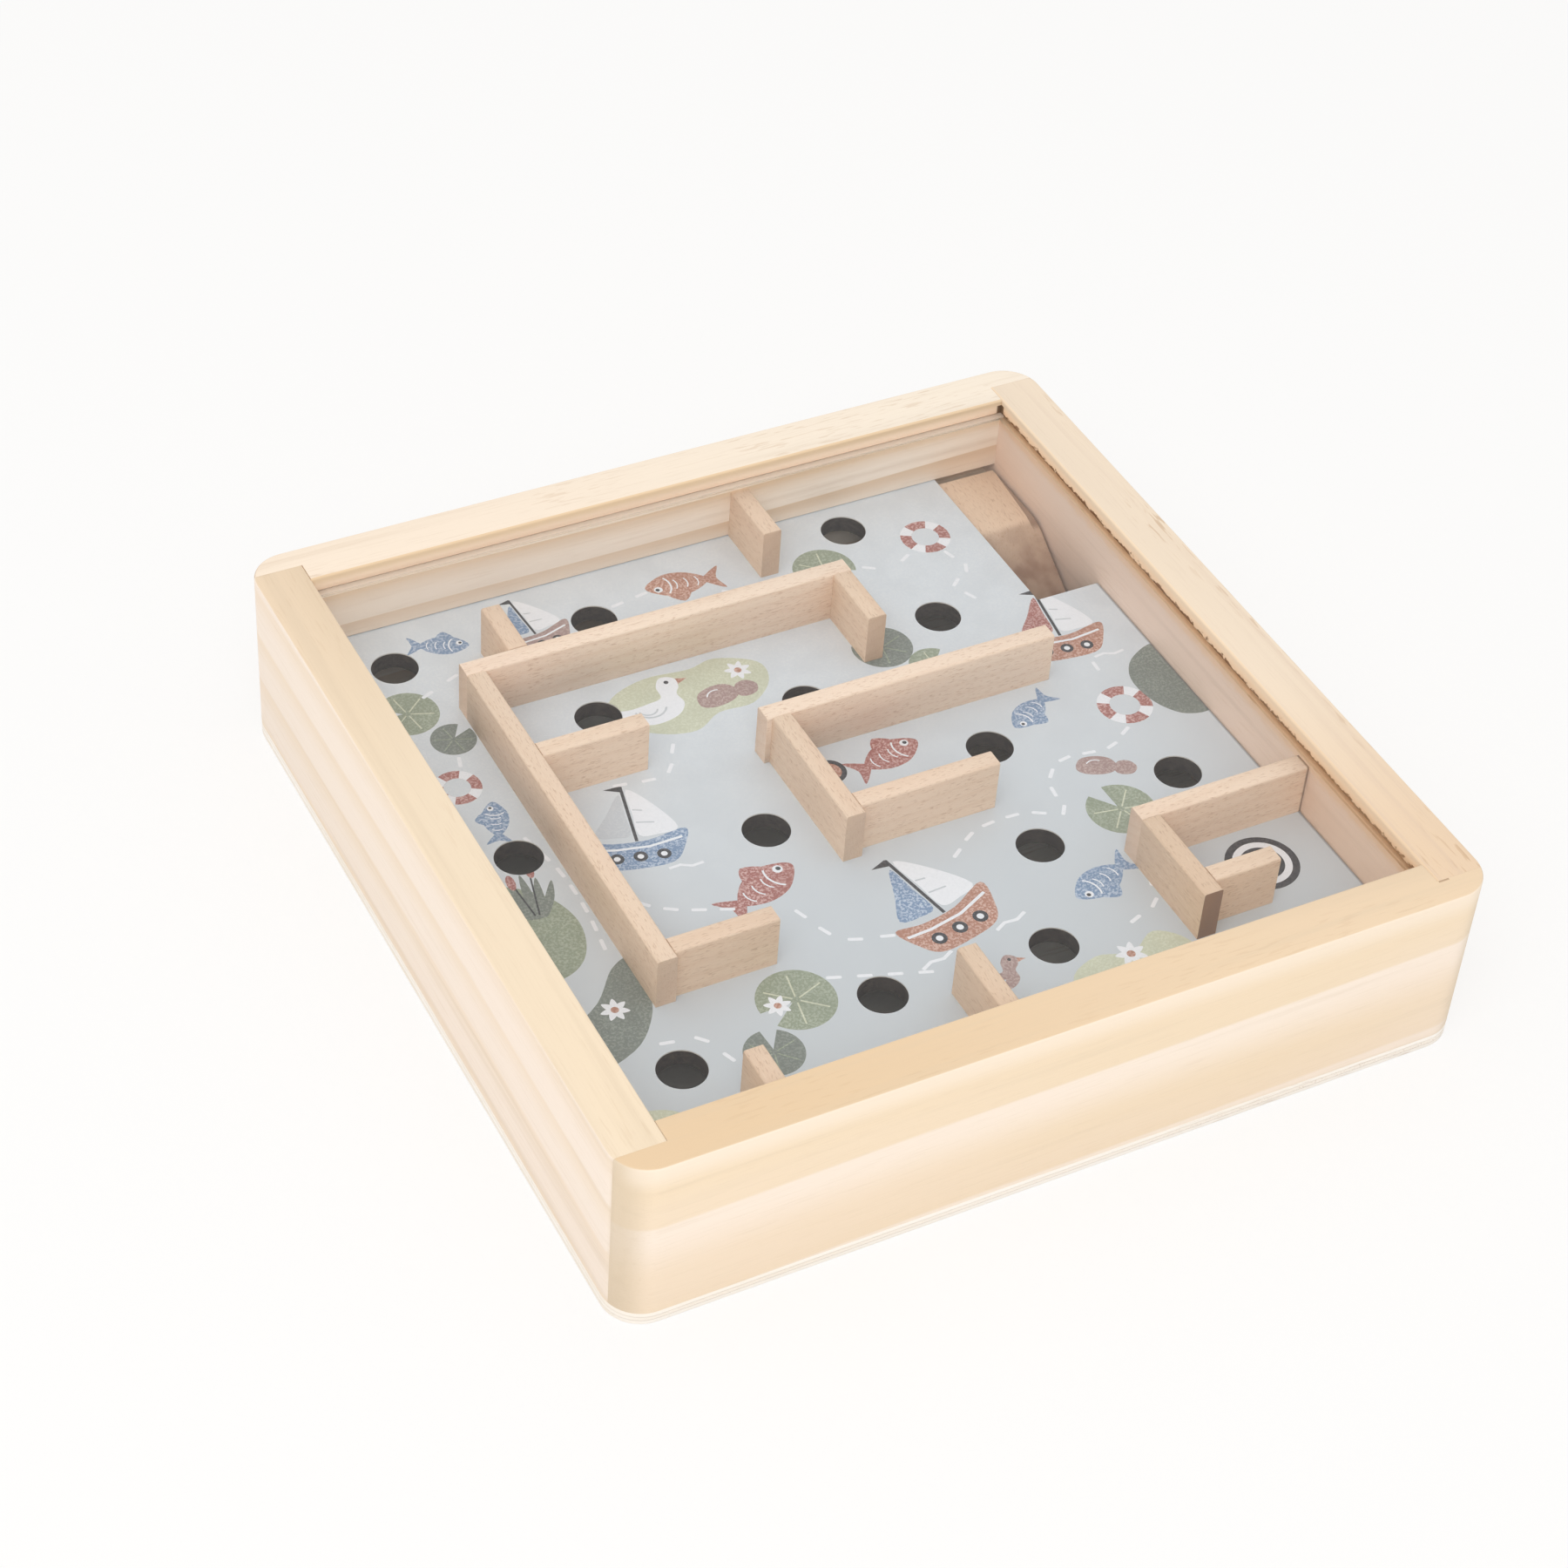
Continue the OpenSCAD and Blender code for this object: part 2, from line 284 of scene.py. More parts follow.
def pine(name, turned, pith, ring, phase, pale, amber, tops, contrast, dashes, rise=(0.3, 1.0),
         fall=(0.955, 0.995), turn_at=(-0.06, 0.06)):
    """Pine cut along X, or along Y when turned, from a tree whose heart runs beside it at pith.

    A ring is a year's width. The tones are the pale early wood, the amber late wood, and the top
    face before and past turn_at. Dashes is how strongly the short resin lines show."""
    material, tree, shader, here = start_material(name)
    run = 1 if turned else 0
    place = add(tree, "Mapping", {"Vector": here, "Location": (10 * ring + phase, -pith[0], -pith[1]),
                                  "Rotation": (0, 0.012, -math.pi / 2 * run)}).outputs[0]
    from_heart = vector_calc(tree, "MULTIPLY", wandering(tree, place, (7, 16, 16), 1.0, 0.006), (0, 1, 1))
    radius = add(tree, "VectorMath", {0: from_heart}, operation="LENGTH").outputs["Value"]
    late = year_ring(tree, calc(tree, "MULTIPLY_ADD", radius, 1 / ring, phase), rise, fall)
    wood = mixed(tree, times(tree, late, contrast), seen_as(*pale), seen_as(*amber))
    cloud = step_up(tree, grain(tree, place, (9, 42, 42)), 0.4, 0.72)
    wood = tinted(tree, wood, cloud, 0.35, [0.5 * p + 0.5 * q for p, q in zip(pale, (250, 228, 212))])
    ways = parts(tree, outwards(tree))
    upward = times(tree, step_up(tree, ways[2], 0.55, 0.9), 0.88)
    along = step_up(tree, parts(tree, here)[run], *turn_at)
    wood = mixed(tree, upward, wood, mixed(tree, along, seen_as(*tops[0]), seen_as(*tops[1])))
    dull = [0.9 * c for c in amber]
    vein = grain(tree, place, (10, 420, 420))
    fibre = grain(tree, place, (110, 3600, 3600), 4.0, 0.62)
    wood = tinted(tree, wood, step_up(tree, vein, 0.52, 0.74), 0.26, dull)
    wood = tinted(tree, wood, step_up(tree, fibre, 0.5, 0.8), 0.25, dull)
    pore = step_up(tree, grain(tree, place, (230, 2100, 2100), 1.0), 0.58, 0.68)
    where = step_up(tree, grain(tree, place, (28, 70, 70), 1.0), 0.45, 0.57)
    dash = times(tree, times(tree, pore, where), calc(tree, "MULTIPLY_ADD", upward, 0.8, 0.2))
    wood = tinted(tree, wood, dash, dashes, (192, 152, 108))
    end_face = step_up(tree, calc(tree, "ABSOLUTE", ways[run]), 0.15, 0.85)
    coat(tree, shader, tinted(tree, wood, end_face, 0.7, [0.88 * c for c in amber]))
    polish(tree, shader, fibre, 0.46, 0.62, 0.3, 0.7)
    shader.inputs["Specular IOR Level"].default_value = 0.35
    relief(tree, shader, calc(tree, "MULTIPLY_ADD", fibre, 0.7, times(tree, late, 0.3)), 0.00005, 0.8)
    return material


def repaint(material):
    """The tree, shader and colour of a finished wood that gets a second layer of colour."""
    tree = material.node_tree
    shader = next(node for node in tree.nodes if node.type == "BSDF_PRINCIPLED")
    return tree, shader, shader.inputs["Base Color"].links[0].from_socket


inner_face, rail_top = 0.0618, 0.0314
sill, lip = 0.0274, 0.029
face_skin, groove_half = 0.0004, 0.0017
groove_middle = inner_face + face_skin + groove_half
corner_gap, gap_top = (0.0608, 0.0612), 0.0305
torn_reach = 0.003


def cover_groove(material, axis, lip_tone, edge_tone, groove_light_tone, torn_and_shade=0.0):
    """The wood round the cover's groove in a rail whose inner face lies across an axis.

    The lip above the groove goes to another tone at its edge, and the groove's inside is painted pale,
    as painted light against the shade in it. A ragged dark line on the lip's lower edge is painted
    shade of the groove's mouth, and a share of the fibres below the sill is ripped."""
    tree, shader, wood = repaint(material)
    place = spot(tree)
    axes = parts(tree, place)
    level = axes[2]
    at_face = calc(tree, "COMPARE", axes[axis], inner_face, face_skin)
    above = times(tree, at_face, step_up(tree, level, lip - 0.0002, lip))
    edge = step_up(tree, level, lip + 0.0006, rail_top - 0.0003)
    lip_wood = mixed(tree, edge, seen_as(*lip_tone), seen_as(*edge_tone))
    wood = mixed(tree, times(tree, above, 0.9), wood, lip_wood)
    # The groove's inside is painted pale, as painted light against the shade in it.
    groove_painted_light = times(tree, calc(tree, "COMPARE", axes[axis], groove_middle, groove_half),
                   calc(tree, "COMPARE", level, (sill + lip) / 2, 0.001))
    wood = tinted(tree, wood, groove_painted_light, 0.95, groove_light_tone)
    if torn_and_shade:
        shreds = grain(tree, place, (460, 620, 900), 4.0, 0.7)
        ragged = calc(tree, "MULTIPLY_ADD", shreds, torn_reach,
                      calc(tree, "SUBTRACT", level, torn_reach / 2))
        # A ragged dark line on the lip's lower edge is painted shade of the groove's mouth.
        mouth_shade = rest_of(tree, step_up(tree, ragged, lip + 0.0002, lip + 0.0005))
        wood = tinted(tree, wood, times(tree, above, mouth_shade), torn_and_shade, (112, 66, 30))
        fringe = times(tree, step_up(tree, ragged, sill - 0.0022, sill - 0.0002),
                       calc(tree, "LESS_THAN", level, sill + 0.0003))
        wood = tinted(tree, wood, times(tree, fringe, at_face), 0.4 * torn_and_shade, (236, 190, 140))
        # The inner face is painted darker and browner towards the front, partly the wood's tone and partly
        # painted shade from the front rail and walls.
        front = times(tree, at_face, step_up(tree, axes[1 - axis], 0.01, -0.06))
        wood = tinted(tree, wood, front, 0.3, (218, 176, 132))
    # The lips do not quite meet in the back right corner, and the shade in the gap there is painted as a
    # small dark patch.
    corner = step_up(tree, calc(tree, "MINIMUM", axes[0], axes[1]), *corner_gap)
    gap = times(tree, times(tree, above, calc(tree, "LESS_THAN", level, gap_top)), corner)
    coat(tree, shader, tinted(tree, wood, gap, 0.9, (84, 60, 36)))
    # The lip's edge is worn round, so it faces upwards more and more.
    lift = times(tree, above, times(tree, step_up(tree, level, lip, rail_top), 1.1))
    turned_up = vector_calc(tree, "ADD", outwards(tree), add(tree, "CombineXYZ", {2: lift}).outputs[0])
    bump = shader.inputs["Normal"].links[0].from_node
    tree.links.new(vector_calc(tree, "NORMALIZE", turned_up), bump.inputs["Normal"])


front_pine = pine("pine_front", False, (-0.062, 0.115), 0.018, 0.7035, (254, 240, 225), (246, 225, 195),
                  ((231, 201, 162), (239, 213, 180)), contrast=0.95, dashes=0.12, rise=(0.05, 0.6))
back_pine = pine("pine_back", False, (0.055, -0.05), 0.0063, 0.5, (255, 241, 225), (232, 203, 171),
                 ((251, 235, 216), (252, 240, 223)), contrast=0.9, dashes=0.25)
left_pine = pine("pine_left", True, (0.04, -0.10), 0.0088, 0.6, (251, 237, 223), (241, 219, 190),
                 ((244, 225, 197), (237, 213, 182)), contrast=0.6, dashes=0.1, fall=(0.86, 0.99),
                 turn_at=(0.0, 0.065))
right_pine = pine("pine_right", True, (-0.14, 0.015), 0.0066, 0.1, (247, 223, 206), (237, 210, 190),
                  ((236, 209, 177), (244, 227, 204)), contrast=0.5, dashes=0.5, turn_at=(-0.065, -0.01))
cover_groove(back_pine, 1, (252, 226, 200), (240, 210, 172), (255, 244, 228))
cover_groove(right_pine, 0, (246, 212, 176), (250, 226, 196), (255, 221, 184), torn_and_shade=0.9)
# The front face is paler again just under its top edge. The seam round the right rail's end has
# come apart a little at its inner corner, and the shade in that crack is painted dark on the front rail.
pale_band = (0.0262, 0.0304)
seam_middle, seam_half, seam_tip = 0.06285, 0.0009, (-0.06625, -0.066)
tree, shader, wood = repaint(front_pine)
x, y, z = parts(tree, spot(tree))
forward = step_up(tree, parts(tree, outwards(tree))[1], -0.4, -0.9)
wood = tinted(tree, wood, times(tree, forward, step_up(tree, z, *pale_band)), 0.55, (255, 241, 224))
seam_shade = times(tree, calc(tree, "COMPARE", x, seam_middle, seam_half), step_up(tree, y, *seam_tip))
coat(tree, shader, tinted(tree, wood, seam_shade, 0.55, (140, 98, 60)))
# The outer face of the right rail is less pink than its inner one.
less_pink = (1.02, 1.09, 1.05, 1)
tree, shader, wood = repaint(right_pine)
outer = step_up(tree, parts(tree, outwards(tree))[0], 0.4, 0.9)
coat(tree, shader, mixed(tree, outer, wood, less_pink, "MULTIPLY"))
dress("front_rail", front_pine)
dress("back_rail", back_pine)
dress("left_rail", left_pine)
dress("right_rail", right_pine)


# Board.
# Dark hardboard, 2.8 mm thick, with fourteen drilled holes and a notch in its back right corner.
# It rests in saw grooves in the front and back rails.
hardboard, tree, shader, place = start_material("dark_hardboard")
chips = grain(tree, place, (900, 900, 1600), 4.0, 0.65)
fleck = grain(tree, place, (3800, 3800, 3800))
pressed = mixed(tree, step_up(tree, chips, 0.32, 0.68), seen_as(53, 47, 46), seen_as(82, 74, 69))
coat(tree, shader, tinted(tree, pressed, step_up(tree, fleck, 0.62, 0.74), 0.5, (132, 116, 102)))
polish(tree, shader, chips, 0.62, 0.9)
relief(tree, shader, chips, 0.00008)
dress("maze_board", hardboard, 0)


# Printed sheet.
# A paper print of a pond, pasted on the board and punched with it. It is one thin sheet, and each
# of its flat inks, with their fine printed speckle, is a part of its top face.
inside, tongue = 1000 * inner_face, 64.6
sheet_side = inside - 0.2
sheet_low, sheet_top = 17.8, 18.0
drawn = []


def draw(ink, outline, x=0.0, y=0.0, turn=0.0, size=1.0):
    """Lays a closed outline in millimetres on the sheet, over what is already drawn there."""
    c, s = math.cos(math.radians(turn)) * size, math.sin(math.radians(turn)) * size
    moved = [(x + c * p - s * q, y + s * p + c * q) for p, q in outline]
    area = sum(a[0] * b[1] - a[1] * b[0] for a, b in zip(moved, moved[1:] + moved[:1]))
    drawn.append((ink, moved if area > 0 else moved[::-1]))


def disc(x, y, wide, high=None, steps=28):
    """An ellipse by its half width and half height."""
    high = wide if high is None else high
    turns = [2 * math.pi * i / steps for i in range(steps)]
    return [(x + wide * math.cos(a), y + high * math.sin(a)) for a in turns]


def curved(a, b, c, d, steps):
    """Points from b to c on the smooth curve through four points."""
    return [0.5 * (2 * b + (c - a) * t + (2 * a - 5 * b + 4 * c - d) * t ** 2
                   + (3 * b - a - 3 * c + d) * t ** 3) for t in (k / steps for k in range(steps))]


def soft(points, steps=5):
    """A smooth closed outline through some points."""
    outline = []
    for i in range(len(points)):
        near = [Vector(points[(i + k) % len(points)]) for k in (-1, 0, 1, 2)]
        outline += [tuple(point) for point in curved(*near, steps)]
    return outline


def line(points, width):
    """A drawn line of even width through some points."""
    left, right = [], []
    for i, point in enumerate(points):
        before, after = Vector(points[max(i - 1, 0)]), Vector(points[min(i + 1, len(points) - 1)])
        side = (after - before).normalized().orthogonal() * width / 2
        left.append(tuple(Vector(point) + side))
        right.append(tuple(Vector(point) - side))
    return left + right[::-1]


def arc(x, y, radius, start, end, steps=8):
    """Points along part of a circle, by its angles in degrees."""
    turns = [math.radians(start + (end - start) * i / steps) for i in range(steps + 1)]
    return [(x + radius * math.cos(a), y + radius * math.sin(a)) for a in turns]


def sailing_boat(x, y, turn, size, hull, sail, jib):
    """A boat on two ripples, with three portholes, a mast with a pennant, and two sails."""
    at = (x, y, turn, size)
    draw("white", line([(-7.2, -4.7), (-5.8, -4.3), (-4.4, -4.7), (-3.0, -4.3)], 0.4), *at)
    draw("white", line([(2.8, -4.8), (4.2, -4.4), (5.6, -4.8), (7.0, -4.4)], 0.4), *at)
    draw(hull, soft([(-6.0, 1.1), (-2.8, 0.4), (1.5, 0.4), (6.2, 1.7), (5.4, -1.5), (3.7, -3.7), (0, -4.2),
                     (-3.8, -3.9), (-5.3, -1.9)]), *at)
    draw("white", line([(-5.5, -0.3), (-2.6, -0.7), (1.4, -0.7), (5.5, 0.3)], 0.36), *at)
    for port in (-2.8, 0.0, 2.8):
        draw("charcoal", disc(port, -2.2, 0.85, steps=18), *at)
        draw("white", disc(port, -2.2, 0.4, steps=14), *at)
    draw("charcoal", line([(0.1, 0.4), (0.1, 10.0)], 0.4), *at)
    draw(sail, soft([(0.6, 1.4), (0.55, 5.0), (0.65, 9.4), (3.3, 6.4), (5.4, 2.0), (2.8, 1.2)], 4), *at)
    draw(jib, soft([(-0.4, 1.6), (-0.35, 5.0), (-0.4, 8.6), (-2.6, 5.2), (-4.6, 2.0), (-2.2, 1.3)], 4), *at)
    for batten in (3.6, 5.8):
        draw("grey", line([(0.7, batten), (4.4 - 0.44 * batten, batten - 0.3)], 0.22), *at)
    draw("charcoal", [(0.1, 10.1), (0.1, 9.0), (-2.0, 9.7)], *at)


def fish(x, y, turn, size, scales):
    """A round fish with a back fin, its gill and three rows of scales in white."""
    at = (x, y, turn, size)
    draw(scales, soft([(-3.2, 0.3), (-6.0, 2.4), (-5.2, 0), (-6.0, -2.4), (-3.2, -0.3)], 4), *at)
    draw(scales, soft([(-0.9, 1.9), (0.4, 3.7), (2.4, 1.8)], 4), *at)
    draw(scales, soft([(-4.0, 0), (-1.6, 2.0), (1.4, 2.4), (3.8, 1.3), (4.9, 0), (3.8, -1.3), (1.4, -2.4),
                       (-1.6, -2.0)]), *at)
    draw("white", line(arc(3.9, 0, 2.6, 140, 220), 0.25), *at)
    for row in (-0.9, 0.6, 2.1):
        draw("white", line(arc(row, 0, 1.7, 145, 215, 6), 0.18), *at)
    draw("white", disc(3.2, 0.6, 0.6, steps=16), *at)
    draw("charcoal", disc(3.32, 0.62, 0.3, steps=12), *at)


def lily_pad(x, y, turn, size, leaf, vein):
    """A round leaf with a slit and five veins."""
    at = (x, y, turn, size)
    draw(leaf, [(0.7, 0)] + arc(0, 0, 5, 16, 344, 34), *at)
    for angle in range(60, 360, 60):
        c, s = math.cos(math.radians(angle)), math.sin(math.radians(angle))
        draw(vein, line([(0.5 * c, 0.5 * s), (4.1 * c, 4.1 * s)], 0.22), *at)


def lily_flower(x, y, turn, size):
    """Seven white petals round a terracotta heart."""
    petal = soft([(0.2, 0), (1.5, 0.75), (3.1, 0), (1.5, -0.75)], 4)
    for k in range(7):
        draw("white", petal, x, y, turn + 360 / 7 * k, size)
    draw("terracotta", disc(0, 0, 0.85, steps=16), x, y, turn, size)


def reeds(x, y, turn, size, leaf):
    """Five blades and two bulrushes."""
    at = (x, y, turn, size)
    for k in (-2, -1, 0, 1, 2):
        tip = (1.9 * k, 8.4 - 1.1 * abs(k))
        draw(leaf, soft([(0.55 * k - 0.4, 0), (1.3 * k - 0.7, 0.5 * tip[1]), tip,
                         (1.3 * k + 0.7, 0.5 * tip[1]), (0.55 * k + 0.4, 0)], 4), *at)
    for k, top in ((-0.5, 7.2), (0.5, 8.8)):
        draw("charcoal", line([(0.6 * k, 0.3), (3.0 * k, top)], 0.25), *at)
        draw("rust", disc(3.05 * k, top, 0.62, 1.5, 18), *at)


def duck(x, y, turn, size, back="white"):
    """A swimming duck with two lines for its wing."""
    at = (x, y, turn, size)
    draw("terracotta", [(4.5, 4.8), (6.3, 4.1), (4.5, 3.5)], *at)
    draw(back, soft([(-4.2, 0.2), (-5.6, 2.6), (-3.2, 1.9), (-0.4, 1.9), (1.5, 2.2), (1.9, 4.2), (3.2, 5.6),
                     (4.8, 4.8), (4.6, 3.2), (3.7, 2.0), (3.7, 0.0), (1.8, -1.7), (-1.8, -1.9)]), *at)
    draw("grey", line(arc(-0.6, 1.5, 2.2, 190, 330, 8), 0.28), *at)
    draw("grey", line(arc(-1.0, 1.2, 1.3, 190, 330, 6), 0.24), *at)
    draw("charcoal", disc(3.55, 4.5, 0.32, steps=12), *at)


def life_ring(x, y, size):
    """A rust ring with four white blocks, and the pond inside it."""
    draw("rust", disc(0, 0, 4), x, y, 0, size)
    for start in (28, 118, 208, 298):
        block = arc(0, 0, 4, start, start + 34, 6) + arc(0, 0, 2.2, start + 34, start, 6)
        draw("white", block, x, y, 0, size)
    draw("pond", disc(0, 0, 2.2, steps=22), x, y, 0, size)


def finish_rings(x, y, size):
    """Five rings, charcoal and white in turn, round the hole where the course ends."""
    for ink, radius in (("charcoal", 5), ("white", 4), ("charcoal", 3), ("white", 2), ("charcoal", 1)):
        draw(ink, disc(0, 0, radius, steps=34), x, y, 0, size)


def stones(x, y, turn, size):
    """A large stone and a small one, with a glint."""
    at = (x, y, turn, size)
    draw("mauve", soft([(-4, 0), (-3.2, 2.2), (-0.8, 2.9), (1.6, 2.3), (2.6, 0.2), (0.8, -1.2),
                        (-2.4, -1.2)]), *at)
    draw("mauve", soft([(2.0, -0.6), (2.7, 1.4), (4.5, 1.6), (5.6, 0.2), (4.8, -1.3), (3.0, -1.5)]), *at)
    draw("white", line(arc(-0.8, 0.4, 1.6, 60, 150, 6), 0.2), *at)


draw("olive", soft([(-27, 27), (-24, 32), (-17.5, 34.2), (-10, 33.6), (-5, 34.4), (1, 31), (0.6, 26.2),
                    (-4, 22.4), (-10, 22.4), (-15, 19.9), (-21, 21.6)]))
stones(-7.6, 25.4, 8, 1.1)
duck(-18.6, 26.2, 4, 1.25)
lily_flower(-2.8, 30.4, 10, 0.72)
lily_pad(-54.6, 41.0, 160, 1.0, "sage", "olive")
lily_pad(-50.4, 32.8, 40, 0.72, "deep_green", "sage")
life_ring(-54.2, 22.4, 0.95)
draw("sage", soft([(-62, -1), (-57.5, 0.2), (-51.6, -4.6), (-49.4, -11.4), (-51.4, -18), (-56, -21),
                   (-62, -20)]))
reeds(-54.4, -8.0, -6, 1.1, "deep_green")
fish(-51.8, 13.4, 74, 0.85, "blue")
draw("deep_green", soft([(-62, -33), (-54, -27.5), (-49.2, -22), (-45.6, -21), (-46, -27.6), (-48, -33),
                         (-53, -38), (-62, -40)]))
draw("olive", soft([(-62, -50), (-55, -49.4), (-50.6, -53.4), (-48, -62), (-62, -62)]))
lily_flower(-52.2, -29.6, 25, 0.72)
sailing_boat(-34.6, 0.4, -13, 1.28, "blue", "white", "grey")
fish(-21.4, -15.4, 24, 1.35, "rust")
sailing_boat(0.6, -31.6, 12, 1.42, "terracotta", "white", "blue")
lily_pad(-27.6, -38.2, 200, 1.2, "sage", "olive")
lily_pad(-35.2, -46.2, 75, 0.9, "deep_green", "sage")
lily_flower(-30.6, -38.2, 0, 0.68)
duck(0.8, -47.0, -8, 0.9, "mauve")
fish(9.6, 3.0, 14, 1.2, "rust")
lily_pad(18.4, -7.0, 70, 0.7, "sage", "olive")
draw("charcoal", disc(-0.6, 3.2, 2.7, steps=30))
draw("terracotta", disc(-0.6, 3.2, 1.9, steps=26))
draw("white", disc(-0.6, 3.2, 0.8, steps=18))
fish(35.0, 3.2, -150, 0.95, "blue")
sailing_boat(48.8, 17.2, -8, 1.24, "terracotta", "white", "rust")
lily_pad(21.0, 26.4, 140, 1.0, "deep_green", "sage")
lily_pad(26.6, 19.4, 30, 0.8, "sage", "olive")
life_ring(49.8, -1.2, 1.12)
draw("deep_green", soft([(54, 4), (57.4, 8.6), (63, 9), (63, -6), (58, -7), (54.6, -2.6)]))
lily_pad(36.6, -22.0, 110, 1.1, "sage", "olive")
fish(25.6, -34.4, 200, 1.15, "blue")
stones(38.6, -12.8, -20, 1.0)
draw("olive", soft([(11, -51), (16.5, -48.0), (22, -49.4), (27, -46.8), (31, -50.5), (31, -57), (22, -60),
                    (13, -58)]))
lily_flower(21.6, -49.6, 15, 0.8)
finish_rings(50.0, -41.0, 1.15)
sailing_boat(-28.6, 50.6, 4, 0.98, "mauve", "white", "blue")
fish(-1.8, 53.6, 172, 1.2, "terracotta")
lily_pad(21.6, 47.6, -40, 1.05, "sage", "olive")
life_ring(41.2, 48.8, 1.05)
fish(-43.4, 54.2, -20, 0.9, "blue")

course_length, course_gap, course_width = 2.3, 1.7, 0.62
courses = [
    [(-50, 44), (-44, 46.6), (-39.6, 48.2)],
    [(-13.4, 52.6), (-8.8, 53.4)],
    [(4.6, 48.6), (9.6, 45.4), (15.8, 45.8)],
    [(28.6, 45.2), (32, 43.4), (35.4, 45.2)],
    [(42.6, 43.2), (43.5, 39), (39.5, 35.6), (40.6, 32.4)],
    [(50.4, 8.8), (50.2, 5.2)],
    [(46.6, -6.6), (42, -9), (34, -8.6), (29.5, -12.5), (28, -19), (22, -16.8), (14, -17.2), (8.6, -20.6)],
    [(-9.4, -32), (-16, -29.6), (-19, -22.8)],
    [(-28.4, -17.6), (-35.8, -14.4), (-40.2, -10.6), (-40.2, -8.0)],
    [(-31.4, 13.2), (-24, 12.6), (-20.4, 17.6)],
    [(-7.8, -40.8), (-20.6, -36.4)],
    [(-51.6, 27.6), (-51.2, 29.0)],
    [(-49.2, 7.2), (-47.6, -0.6), (-47.4, -9.0), (-48.2, -17)],
    [(-41.4, -44.4), (-43.6, -39.6), (-48.2, -38.4)],
    [(32.4, -37.4), (30.6, -41.6), (26, -43.6)],
]
course_mesh = bpy.data.meshes.new("course_lines")
points, edges = [], []
for stops in courses:
    path = []
    for i in range(len(stops) - 1):
        near = [Vector(stops[min(max(i + k, 0), len(stops) - 1)]) for k in (-1, 0, 1, 2)]
        path += curved(*near, 10)
    path.append(Vector(stops[-1]))
    edges += [(len(points) + i, len(points) + i + 1) for i in range(len(path) - 1)]
    points += [(p.x, p.y, 0) for p in path]
course_mesh.from_pydata(points, edges, [])
course_lines = in_scene("course_lines", course_mesh)

dashes = bpy.data.node_groups.new("dashes_along_course", "GeometryNodeTree")
kinds = {"Course": "Geometry", "Dash length": "Float", "Gap": "Float", "Dash width": "Float",
         "Ink": "Material"}
sockets = {name: dashes.interface.new_socket(name, in_out="INPUT", socket_type="NodeSocket" + kind)
           for name, kind in kinds.items()}
dashes.interface.new_socket("Dashes", in_out="OUTPUT", socket_type="NodeSocketGeometry")


def shape(kind, values=None, **settings):
    """One geometry node of the dash tree."""
    return add(dashes, kind, values, "GeometryNode", **settings)


given = dashes.nodes.new("NodeGroupInput").outputs
pitch = calc(dashes, "ADD", given["Dash length"], given["Gap"])
curve = shape("MeshToCurve", {"Mesh": given["Course"]})
spots = shape("CurveToPoints", {"Curve": curve.outputs[0], "Length": pitch}, mode="LENGTH")
heading = add(dashes, "AlignRotationToVector", {"Vector": spots.outputs["Tangent"]}, "FunctionNode",
              axis="X", pivot_axis="Z")
block = shape("CurvePrimitiveQuadrilateral", {"Width": given["Dash length"], "Height": given["Dash width"]})
corner_round = times(dashes, given["Dash width"], 0.32)
eased = shape("FilletCurve", {"Curve": block.outputs[0], "Count": 2, "Radius": corner_round}, mode="POLY")
filled = shape("FillCurve", {"Curve": eased.outputs[0]}, mode="NGONS")
laid = shape("InstanceOnPoints", {"Points": spots.outputs["Points"], "Instance": filled.outputs[0],
                                  "Rotation": heading.outputs[0]})
real = shape("RealizeInstances", {"Geometry": laid.outputs[0]})
inked = shape("SetMaterial", {"Geometry": real.outputs[0], "Material": given["Ink"]})
dashes.links.new(inked.outputs[0], dashes.nodes.new("NodeGroupOutput").inputs[0])


def ink(name, tone, speck, amount, mottle=0.0, near=None):
    """A flat printing ink whose fine speckle lets a second tone through.

    It may go over to a darker tone near the front, which is painted shade, and it is painted darker
    where the sheet meets a rail, as painted shade of the gap there."""
    material, tree, shader, place = start_material(name)
    axes = parts(tree, place)
    dots = grain(tree, place, (2400, 2400, 2400), 3.0, 0.75)
    patch = grain(tree, place, (160, 160, 160))
    colour = tinted(tree, seen_as(*tone), step_up(tree, dots, 0.48, 0.57), amount, speck)
    # The pond's darker tone near the front is painted shade.
    if near:
        colour = mixed(tree, step_up(tree, axes[1], 0.045, -0.06), colour, seen_as(*near))
    colour = tinted(tree, colour, step_up(tree, patch, 0.35, 0.7), mottle, [0.93 * c for c in tone])
    # The strip along each side rail is painted darker, as painted shade of the gap between sheet and rail.
    rail_gap_band = [(sheet_side - back) / 1000 for back in (0.4, 0.15)]
    rail_gap_shade = step_up(tree, calc(tree, "ABSOLUTE", axes[0]), *rail_gap_band)
    coat(tree, shader, tinted(tree, colour, rail_gap_shade, 0.6, (116, 112, 116)))
    polish(tree, shader, dots, 0.38, 0.58)
    relief(tree, shader, dots, 0.00001, 0.5)
    return material


